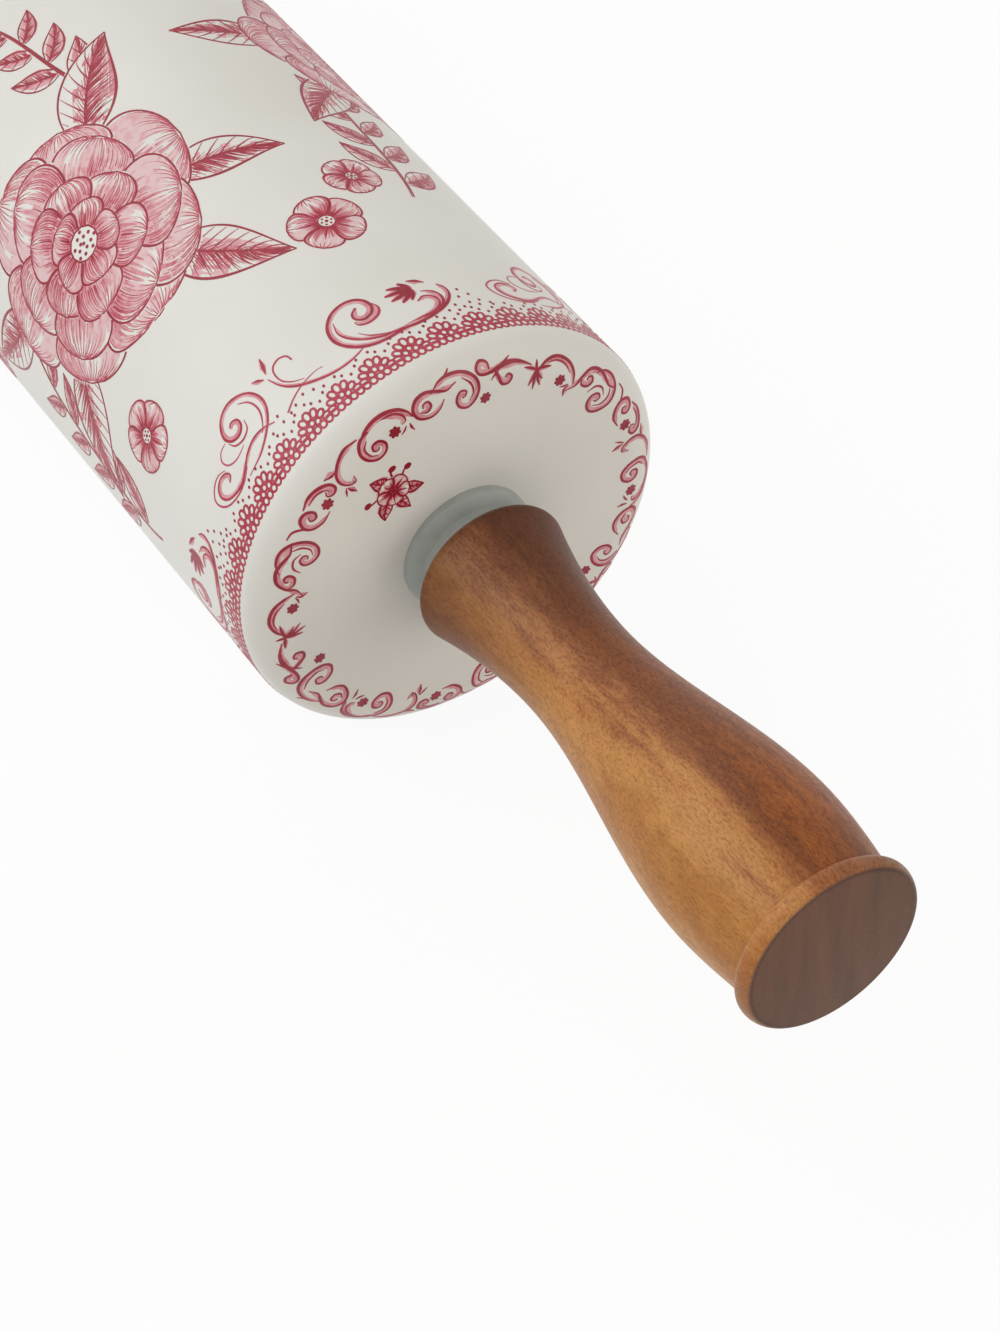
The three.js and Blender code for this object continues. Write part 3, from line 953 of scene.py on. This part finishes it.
def line_in(form, first, last, first_across, last_across, count):
    """A path inside a blade, from one share of its length and half width to another."""
    share, centre, side, half = form
    places = np.linspace(first, last, count)
    reach = np.linspace(first_across, last_across, count)
    edge = side * half[:, None]
    middle = [np.interp(places, share, row) for row in centre.T]
    aside = [np.interp(places, share, row) for row in edge.T]
    return np.stack(middle, 1) + np.stack(aside, 1) * reach[:, None]


def petal(base, heading, length, width, bend, point, shade, ink=0.4):
    """A petal with a pink wash, hatching from its base and tip, a dark root and a crease."""
    form = blade(base, heading, length, width, bend, 1.5, point)
    left, right = line_in(form, 0, 1, 1, 1, 33), line_in(form, 0, 1, -1, -1, 33)
    strokes = []
    bands = max(3, int(width / 1.1))
    for k in range(bands):
        across = -0.9 + 1.8 * k / (bands - 1)
        fill = line_in(form, 0.04, min(0.96, vary(0.6, 1.3)), across, across, 31)
        strokes.append(pen(fill, 0.7, 1.25, 1.25, 1.2, 0.4, tone=vary(0, 0.1)))
        last = min(0.9, shade * (1.6 - 0.8 * across) * vary(0.7, 1.2))
        band = line_in(form, 0.04, last, across, across, 31)
        strokes.append(pen(band, 0.6, 1.15, 0.9, 0.1, tone=vary(0.16, 0.38)))
    strokes.append(pen(left, 0.6 * ink, ink, 1.1 * ink, 0.7 * ink))
    strokes.append(pen(right, 0.8 * ink, 1.4 * ink, ink, 0.6 * ink))
    lines = max(6, int(width / 0.52))
    for k in range(lines):
        across = -0.94 + 1.88 * (k + vary(-0.3, 0.3)) / (lines - 1)
        across = max(-0.95, min(0.95, across))
        first = vary(0.03, 0.1)
        last = min(0.92, first + shade * (1.25 - 0.65 * across) * vary(0.6, 1.15))
        hatch = line_in(form, first, last, across, across, 9)
        strokes.append(pen(hatch, 0.34, 0.25, 0.06, tone=vary(0.5, 0.85)))
        root = line_in(form, 0.02, shade * vary(0.2, 0.55), across, across, 5)
        strokes.append(pen(root, 0.6, 0.4, 0.06, tone=vary(0.8, 1)))
        if k % 2 == 0:
            hatch = line_in(form, 0.975, 0.975 - vary(0.1, 0.3), across, across, 5)
            strokes.append(pen(hatch, 0.22, 0.17, 0.05, tone=0.55))
    middle = vary(-0.12, 0.12)
    crease = line_in(form, 0.05, vary(0.6, 0.8), middle, middle, 13)
    strokes.append(pen(crease, 0.5, 0.36, 0.1, tone=0.9))
    return np.vstack([left, right[::-1]]), strokes


def leaf(base, heading, length, width, bend, ink=0.4):
    """A pointed leaf with midrib, veins and one darker half."""
    form = blade(base, heading, length, width, bend, 0.8, 1.05)
    left, right = line_in(form, 0, 1, 1, 1, 29), line_in(form, 0, 1, -1, -1, 29)
    strokes = []
    bands = max(2, int(width / 1.6))
    for k in range(bands):
        across = -0.9 + 1.3 * k / (bands - 1)
        band = line_in(form, 0.06, 0.9, across, across, 15)
        strokes.append(pen(band, 0.3, 1.3, 1, 0.1, tone=vary(0.1, 0.32)))
    strokes.append(pen(left, 0.5 * ink, ink, 0.6 * ink))
    strokes.append(pen(right, 0.7 * ink, 1.4 * ink, 0.6 * ink))
    strokes.append(pen(line_in(form, 0, 0.96, 0, 0, 21), 1.5 * ink, 1.1 * ink, 0.4 * ink))
    veins = max(4, int(length / 2.6))
    for k in range(veins):
        root = 0.1 + 0.76 * k / (veins - 1)
        for across in (0.93, -0.93):
            vein = line_in(form, root, min(0.98, root + 0.16), 0, across, 6)
            strokes.append(pen(vein, 0.32, 0.24, 0.08, tone=0.85))
    hatches = int(length / 0.55)
    for k in range(hatches):
        root = 0.06 + 0.84 * k / hatches
        tip = min(0.98, root + 0.16)
        hatch = line_in(form, root, tip, 0, -vary(0.55, 0.92), 6)
        strokes.append(pen(hatch, 0.3, 0.22, 0.06, tone=vary(0.6, 0.95)))
        if k % 2:
            hatch = line_in(form, root, tip, 0, vary(0.2, 0.5), 6)
            strokes.append(pen(hatch, 0.2, 0.14, 0.05, tone=0.55))
    return np.vstack([left, right[::-1]]), strokes


def bloom(centre, radius, turn):
    """A full open flower: four rings of broad petals round a seeded heart."""
    rings = (
        (7, 1, 0.86, 0.3, 0.46),
        (6, 0.78, 0.7, 0.2, 0.52),
        (6, 0.55, 0.5, 0.12, 0.6),
        (5, 0.34, 0.34, 0.05, 0.75),
    )
    shapes = []
    for ring, (count, reach, wide, start, shade) in enumerate(rings):
        for k in range(count):
            heading = turn + 360 * (k + 0.5 * (ring % 2)) / count + vary(-8, 8)
            base = polar(centre, radius * start, heading)
            length = radius * (reach - start) * vary(0.9, 1.08)
            width = radius * wide * vary(0.9, 1.1)
            bend = vary(-26, 26)
            shapes.append(petal(base, heading, length, width, bend, 0.5, shade))
    seeds = [dot(polar(centre, radius * 0.03 * math.sqrt(k), 137.5 * k), 0.34) for k in range(14)]
    rim = loop(centre, radius * 0.26, radius * 0.26, 0, 0.36)
    return shapes + [(circle(centre, radius * 0.13), seeds + [rim])]


def blossom(centre, radius, turn):
    """A small flower of five petals."""
    shapes = []
    for k in range(5):
        heading = turn + 72 * k
        base = polar(centre, radius * 0.14, heading)
        bend = vary(-12, 12)
        shapes.append(petal(base, heading, radius * 0.86, radius * 0.98, bend, 0.55, 0.42, 0.32))
    seeds = [dot(polar(centre, radius * 0.13, 60 * k), 0.2) for k in range(6)] + [dot(centre, 0.3)]
    rim = loop(centre, radius * 0.44, radius * 0.44, 0, 0.2)
    return shapes + [(circle(centre, radius * 0.22), seeds + [rim])]


def berry(foot, heading):
    """A shaded berry on a short twig."""
    twig = curl(foot, heading, 3.6, [0.02, -0.02])
    centre = polar(twig[-1], 0.9, heading)
    strokes = [loop(centre, 2, 2, 0, 0.26)]
    for k in range(4):
        hatch = curl(polar(centre, 0.75, 200 + 28 * k), 20 + 14 * k, 0.9, [0.3, 0.3], 0.2)
        strokes.append(pen(hatch, 0.22, 0.1, tone=0.7))
    return [(None, [pen(twig, 0.3, 0.18)]), (circle(centre, 1), strokes)]


def spray(start, heading, length, bends, leaves, leaf_length):
    """A leafy branch with leaves by turns on both sides and three berries at its tip."""
    path = curl(start, heading, length, bends)
    ahead = np.degrees(np.arctan2(*np.gradient(path, axis=0).T[::-1]))
    shapes = []
    for k in range(leaves):
        share = 0.12 + 0.8 * k / leaves
        place = int(share * (len(path) - 1))
        side = 1 if k % 2 else -1
        size = leaf_length * (1 - 0.45 * share)
        shapes.append(leaf(path[place], ahead[place] + side * 52, size, 0.42 * size, -side * 30, 0.3))
    outline = np.vstack([beside(path, 0.5, 0.4), beside(path, -0.3, -0.25)[::-1]])
    second = pen(beside(path, 0.35, 0.3), 0.25, 0.21, 0.13, tone=0.8)
    shapes.append((outline, [pen(path, 0.2, 0.62, 0.56, 0.44, 0.26), second]))
    for place, lean in ((-3, -55), (-1, 0), (-3, 55)):
        shapes += berry(path[place], ahead[place] + lean)
    return shapes


def posy(centre, radius, turn):
    """A large flower on a collar of leaves."""
    shapes = []
    for heading, size in ((38, 1.05), (150, 0.95), (205, 1.05), (290, 1), (335, 0.85)):
        foot = polar(centre, radius * 0.72, turn + heading)
        lean = turn + heading + vary(-16, 16)
        shapes.append(leaf(foot, lean, radius * size, radius * 0.42 * size, vary(-35, 35)))
    return shapes + bloom(centre, radius, turn)


def inside(points, outline):
    """Which points lie inside a closed outline."""
    u, v = points[:, :1], points[:, 1:]
    first, second = outline, np.roll(outline, -1, 0)
    rise = second[:, 1] - first[:, 1]
    slope = (second[:, 0] - first[:, 0]) / np.where(np.abs(rise) < 1e-9, 1e-9, rise)
    crosses = (first[:, 1] > v) != (second[:, 1] > v)
    return (crosses & (u < first[:, 0] + (v - first[:, 1]) * slope)).sum(1) % 2 == 1


def visible_runs(path, hidden):
    """Lists of neighbouring points that are not hidden."""
    runs, run = [], []
    for k in range(len(path)):
        if not hidden[k]:
            run.append(k)
        elif run:
            runs.append(run)
            run = []
    return [one for one in runs + [run] if len(one) > 1]


def uncovered(shapes):
    """The strokes of shapes laid from back to front, cut where a later shape covers them."""
    covers, kept = [], []
    for outline, strokes in reversed(shapes):
        for path, widths, tone in strokes:
            low, high = path.min(0), path.max(0)
            hidden = np.zeros(len(path), bool)
            for cover in covers:
                if (low < cover.max(0)).all() and (high > cover.min(0)).all():
                    hidden |= inside(path, cover)
            runs = visible_runs(path, hidden)
            if tone < WASH_TONE:
                runs = [run[:-1:WASH_THINNING] + run[-1:] for run in runs]
            kept += [(path[run], widths[run], tone) for run in runs]
        if outline is not None:
            covers.append(outline)
    return kept


# Print on the roller: strokes as thin closed ribbons on the glaze

def on_barrel(u, v, height):
    """A place on the roller's side, v from its right end."""
    angle = PRINT_MIDDLE - u / ROLLER_RADIUS
    radius = ROLLER_RADIUS + height
    return np.stack([ROLLER_END - v, -radius * np.sin(angle), radius * np.cos(angle)], -1) * MM


def on_end_face(reference):
    """Gives places on the right end face and shoulder, u round a reference radius and v out from it."""
    def place(u, v, height):
        angle = PRINT_MIDDLE - u / reference
        radius = reference + v
        out = np.clip((radius - ROLLER_RADIUS + SHOULDER_DEPTH) / SHOULDER_DEPTH, 0, 1)
        fall = np.sqrt(1 - out ** 2)
        normal_x, normal_r = fall / SHOULDER_LENGTH, out / SHOULDER_DEPTH
        size = np.hypot(normal_x, normal_r)
        x = ROLLER_END - SHOULDER_LENGTH * (1 - fall) + height * normal_x / size
        radius = radius + height * normal_r / size
        return np.stack([x, -radius * np.sin(angle), radius * np.cos(angle)], -1) * MM
    return place


def linked(name, mesh):
    piece = bpy.data.objects.new(name, mesh)
    bpy.context.scene.collection.objects.link(piece)
    return piece


def printed_piece(name, strokes, place):
    """One mesh of closed ribbons, with each stroke's tone as a point attribute."""
    corners, faces, tones = [], [], []
    start = 0
    for order, (path, widths, tone) in enumerate(strokes):
        count = len(path)
        aside = left_of(path) * widths[:, None] / 2
        top = INK_HEIGHT + INK_TONE_STEP * tone + INK_ORDER_STEP * (order % INK_ORDER_LEVELS)
        left, right = path + aside, path - aside
        rows = [place(*left.T, top), place(*right.T, top)]
        rows += [place(*right.T, -INK_DEPTH), place(*left.T, -INK_DEPTH)]
        corners.append(np.stack(rows, 1).reshape(-1, 3))
        for k in range(count - 1):
            here, there = start + 4 * k, start + 4 * k + 4
            for j in range(4):
                beyond = (j + 1) % 4
                faces.append((here + j, here + beyond, there + beyond, there + j))
        end = start + 4 * count - 4
        faces.append((start, start + 3, start + 2, start + 1))
        faces.append((end, end + 1, end + 2, end + 3))
        tones.append(np.full(4 * count, tone))
        start += 4 * count
    mesh = bpy.data.meshes.new(name)
    mesh.from_pydata(np.concatenate(corners).tolist(), [], faces)
    attribute = mesh.attributes.new("tone", "FLOAT", "POINT")
    attribute.data.foreach_set("value", np.concatenate(tones))
    return linked(name, mesh)


def far_copy(piece, name):
    """A printed piece again on the other half of the roller, turned about Z and then about the axis."""
    mesh = piece.data.copy()
    mesh.name = name
    cos, sin = math.cos(FAR_HALF_TURN), math.sin(FAR_HALF_TURN)
    place = np.zeros(3 * len(mesh.vertices))
    mesh.vertices.foreach_get("co", place)
    x, y, z = place.reshape(-1, 3).T
    turned = np.stack([-x, -y * cos - z * sin, -y * sin + z * cos], 1)
    mesh.vertices.foreach_set("co", turned.ravel())
    mesh.update()
    return linked(name, mesh)


def lace_print():
    pitch = CIRCUMFERENCE / LACE_FANS
    strokes = []
    for k in range(LACE_FANS):
        middle = LACE_START + pitch * k
        strokes += lace_fan(middle, pitch) + lace_seeds(middle, pitch)
    return printed_piece("right_lace_print", strokes, on_barrel)


def scroll_print():
    group = standing_scroll() + thin_swirl() + lying_scroll() + strewn_seeds()
    strokes = repeated(washed(group), SCROLL_GROUPS, CIRCUMFERENCE)
    return printed_piece("right_scroll_print", strokes, on_barrel)


def ring_print():
    third = ring_tight_pair() + ring_bowl_and_hook() + ring_spiral_arch()
    third += ring_wide_pair() + ring_tuft_and_arch()
    strokes = repeated(washed(third), 3, 2 * math.pi * RING_RADIUS)
    return printed_piece("right_ring_print", strokes, on_end_face(RING_RADIUS))


def sprig_print():
    """A small flower on four leaves on the end face."""
    middle = (-3, 0.4)
    shapes = []
    for heading, size in ((205, 4.6), (262, 4.2), (318, 4.4), (98, 4)):
        shapes.append(leaf(polar(middle, 1.4, heading), heading, size, 0.5 * size, 24, 0.34))
    shapes += blossom(middle, 3, 24)
    strokes = uncovered(shapes)
    for heading in (28, 62, 150):
        foot, top = polar(middle, 3, heading), polar(middle, 4.5, heading)
        stalk = line(1.0, (0.34,), foot, polar(middle, 3.8, heading + 3), top)
        strokes += [stalk, dot(top, 0.6)]
    return printed_piece("right_sprig_print", strokes, on_end_face(SPRIG_RADIUS))


def flower_print(name, sprays, large, small):
    shapes = []
    for setting in sprays:
        shapes += spray(*setting)
    shapes += posy(*large)
    for setting in small:
        shapes += blossom(*setting)
    return printed_piece(f"right_{name}_flower_print", uncovered(shapes), on_barrel)


def all_prints():
    """The printed pieces of the right half, one after another."""
    yield lace_print()
    yield scroll_print()
    yield ring_print()
    yield sprig_print()
    for group in FLOWERS:
        yield flower_print(*group)


# Floor, light and camera

def pale_floor():
    """A wide pale floor that shows near white and keeps a soft shadow."""
    bpy.ops.object.select_all(action="DESELECT")
    bpy.ops.mesh.primitive_plane_add(size=FLOOR_SIZE, location=(0, 0, 0))
    floor = bpy.context.object
    floor.name = "pale_floor"
    for corner in floor.data.vertices:
        corner.co.z = FLOOR_HEIGHT
    material, nodes = new_material("pale_floor")
    nodes.surface((0.85, 0.85, 0.85, 1), 0.9, 0.1)
    glow = nodes.add("ShaderNodeEmission", {"Color": WHITE, "Strength": FLOOR_GLOW})
    inputs = {0: nodes.times(nodes.seen(), GLOW_SHARE), 1: nodes.shader.outputs[0], 2: glow.outputs[0]}
    mix = nodes.add("ShaderNodeMixShader", inputs)
    nodes.feed(nodes.tree.nodes["Material Output"], {"Surface": mix.outputs[0]})
    floor.data.materials.append(material)


def studio_world():
    """Even pale light all round, seen as white."""
    world = bpy.data.worlds.new("studio")
    bpy.context.scene.world = world
    nodes = Nodes(world, "Background")
    seen = nodes.seen()
    nodes.feed(nodes.shader, {
        "Color": nodes.blend(seen, WORLD_COLOUR, WHITE),
        "Strength": nodes.span(seen, 0, 1, WORLD_STRENGTH, 1),
    })


def soft_lamp(name, place, aim, size, power, colour):
    bpy.ops.object.light_add(type="AREA", location=place)
    lamp = bpy.context.object
    lamp.name = name
    lamp.data.size = size
    lamp.data.energy = power
    lamp.data.color = colour
    lamp.rotation_mode = "QUATERNION"
    lamp.rotation_quaternion = (Vector(aim) - Vector(place)).to_track_quat("-Z", "Y")


def camera():
    """The camera that sees the roller's right end where and as large as the picture does."""
    level, rise = math.cos(VIEW_ELEVATION), math.sin(VIEW_ELEVATION)
    back = Vector((math.sin(VIEW_AZIMUTH) * level, -math.cos(VIEW_AZIMUTH) * level, rise))
    turn = (-back).to_track_quat("-Z", "Y")
    right, up = turn @ Vector((1, 0, 0)), turn @ Vector((0, 1, 0))
    radius = ROLLER_RADIUS * MM
    per_pixel = radius / ROLLER_RADIUS_PIXELS
    end_face = Vector((ROLLER_END * MM, 0, 0))
    place = end_face + back * (FOCAL_PIXELS * per_pixel)
    place -= right * ((END_FACE_PIXEL[0] - FRAME_CENTRE[0]) * per_pixel)
    place += up * ((END_FACE_PIXEL[1] - FRAME_CENTRE[1]) * per_pixel)
    bpy.ops.object.camera_add(location=place)
    seen_by = bpy.context.object
    seen_by.rotation_mode = "QUATERNION"
    seen_by.rotation_quaternion = turn
    seen_by.data.sensor_width = SENSOR_WIDTH
    seen_by.data.lens = FOCAL_PIXELS * SENSOR_WIDTH / FRAME_LONG_SIDE
    seen_by.data.clip_start = CLIP_START
    bpy.context.scene.camera = seen_by


# The pin itself

def paint(piece, material):
    piece.data.materials.clear()
    piece.data.materials.append(material)


def finish_piece(piece, material, body, slot, *nodes):
    """Gives a piece its material and its body, and hides the CAD nodes that it stands for; its finish,
    slot, is not used.
    """
    paint(piece, material)
    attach(piece, body)
    if nodes:
        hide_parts(*nodes)


def dress_node(name, material):
    """A CAD node that keeps its shape and gets a finished material."""
    paint(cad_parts[name], material)


bpy.context.scene.view_settings.view_transform = "Standard"
camera()
pale_floor()
studio_world()
for lamp_setting in LAMPS:
    soft_lamp(*lamp_setting)

glaze = glaze_material()
ink = ink_material()
wood = wood_material()
silicone = silicone_material()
steel = turned_material("turned_steel", (140, 141, 143), (176, 177, 178))
brass = turned_material("turned_brass", (176, 140, 70), (204, 170, 96))
nylon_colours = (216, 212, 200), (228, 225, 214)
nylon = turned_material("natural_nylon", *nylon_colours, (3000, 80, 80), (0.4, 0.52), 0.25, 0)

finish_piece(ceramic_roller(), glaze, "roller", "glazed_ceramic", "ceramic_roller")
for side, sign in (("right", 1), ("left", -1)):
    finish_piece(grommet(side, sign), silicone, "roller", "silicone", f"{side}_grommet")
    finish_piece(handle(side, sign), wood, "handles", "hardwood", f"{side}_handle")
    dress_node(f"{side}_bearing_sleeve", nylon)
    dress_node(f"{side}_thrust_washer", steel)
    dress_node(f"{side}_threaded_insert", brass)
dress_node("axle_rod", steel)

for near in all_prints():
    far = far_copy(near, near.name.replace("right", "left"))
    for piece in (near, far):
        finish_piece(piece, ink, "roller", "glazed_ceramic")
